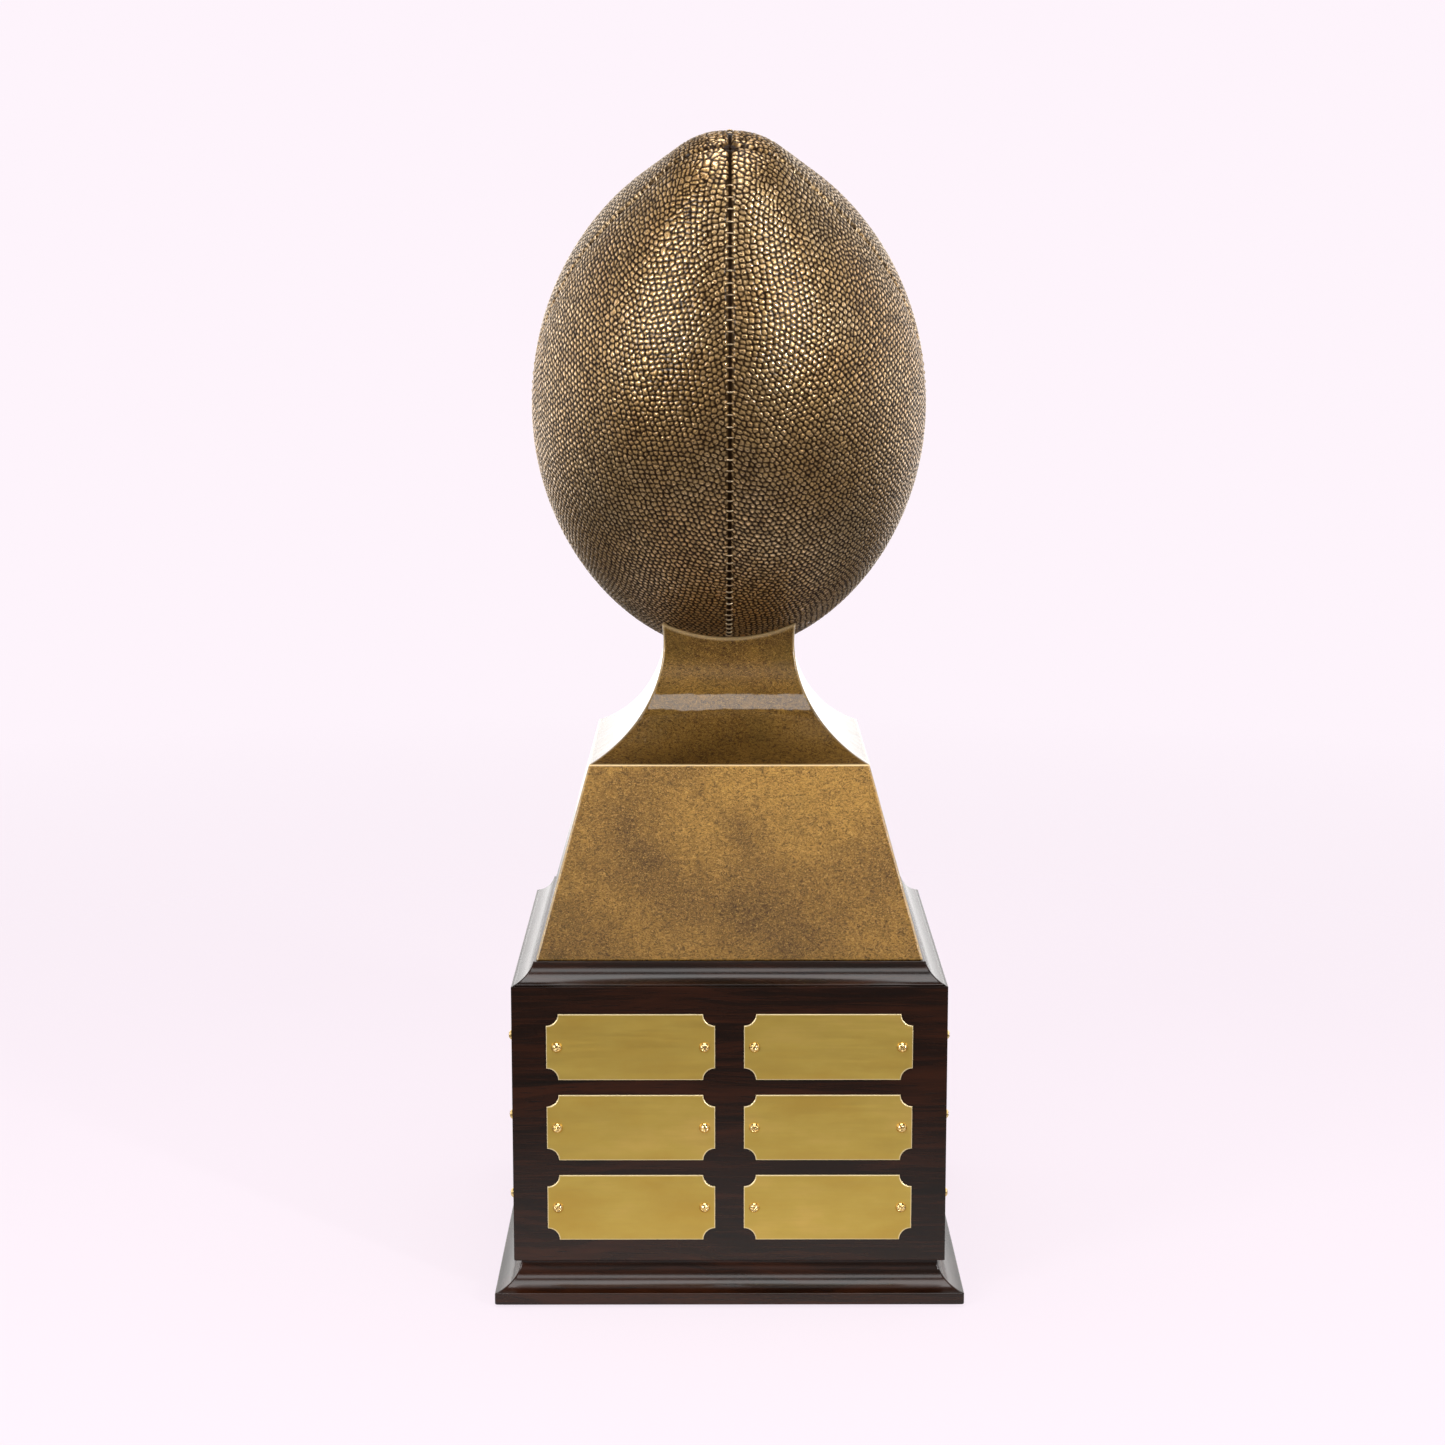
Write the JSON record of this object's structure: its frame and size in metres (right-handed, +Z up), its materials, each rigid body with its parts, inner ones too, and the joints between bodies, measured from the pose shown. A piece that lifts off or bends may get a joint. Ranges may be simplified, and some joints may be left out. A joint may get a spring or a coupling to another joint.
{
  "type": "football trophy on an engraving-plate base",
  "caption": "Leaning gold football on a square coved pedestal, standing on a dark wood box base with brass engraving plates on all four sides.",
  "frame": {"origin": "middle of the underside of the felt, on the surface that the trophy stands on", "axes": "+Z up along the trophy's height, -Y towards its front, +X to the right of someone who looks at the front"},
  "size_m": [0.178, 0.1928, 0.4388],
  "materials": {
    "gold_football": "cast resin with an antique gold finish, dark patina in the crevices of the pebbled surface",
    "gold_pedestal": "cast resin with an antique gold leaf finish, satin, with brown patina",
    "dark_wood": "dark walnut veneer, satin lacquer",
    "raw_wood": "plain sawn softwood",
    "plate_brass": "satin brass with a fine horizontal grain",
    "screw_brass": "bright brass",
    "brass_insert": "plain machined brass",
    "plated_steel": "zinc plated",
    "felt": "green wool felt"
  },
  "bodies": {
    "root": {"football_shell": "gold_football", "football_insert": "brass_insert", "pedestal_shell": "gold_pedestal", "tie_rod": "plated_steel", "rod_washer": "plated_steel", "rod_nut": "plated_steel", "pedestal_screws": "plated_steel", "top_board": "dark_wood", "box_panel_front": "dark_wood", "box_panel_right": "dark_wood", "box_panel_back": "dark_wood", "box_panel_left": "dark_wood", "glue_block_front_left": "raw_wood", "glue_block_front_right": "raw_wood", "glue_block_back_right": "raw_wood", "glue_block_back_left": "raw_wood", "bottom_board": "dark_wood", "base_screws": "plated_steel", "felt_pad": "felt", "plate_front_top_left": "plate_brass", "plate_front_top_right": "plate_brass", "plate_front_middle_left": "plate_brass", "plate_front_middle_right": "plate_brass", "plate_front_bottom_left": "plate_brass", "plate_front_bottom_right": "plate_brass", "plate_right_top_left": "plate_brass", "plate_right_top_right": "plate_brass", "plate_right_middle_left": "plate_brass", "plate_right_middle_right": "plate_brass", "plate_right_bottom_left": "plate_brass", "plate_right_bottom_right": "plate_brass", "plate_back_top_left": "plate_brass", "plate_back_top_right": "plate_brass", "plate_back_middle_left": "plate_brass", "plate_back_middle_right": "plate_brass", "plate_back_bottom_left": "plate_brass", "plate_back_bottom_right": "plate_brass", "plate_left_top_left": "plate_brass", "plate_left_top_right": "plate_brass", "plate_left_middle_left": "plate_brass", "plate_left_middle_right": "plate_brass", "plate_left_bottom_left": "plate_brass", "plate_left_bottom_right": "plate_brass", "plate_screws_front": "screw_brass", "plate_screws_right": "screw_brass", "plate_screws_back": "screw_brass", "plate_screws_left": "screw_brass"}
  },
  "joints": []
}
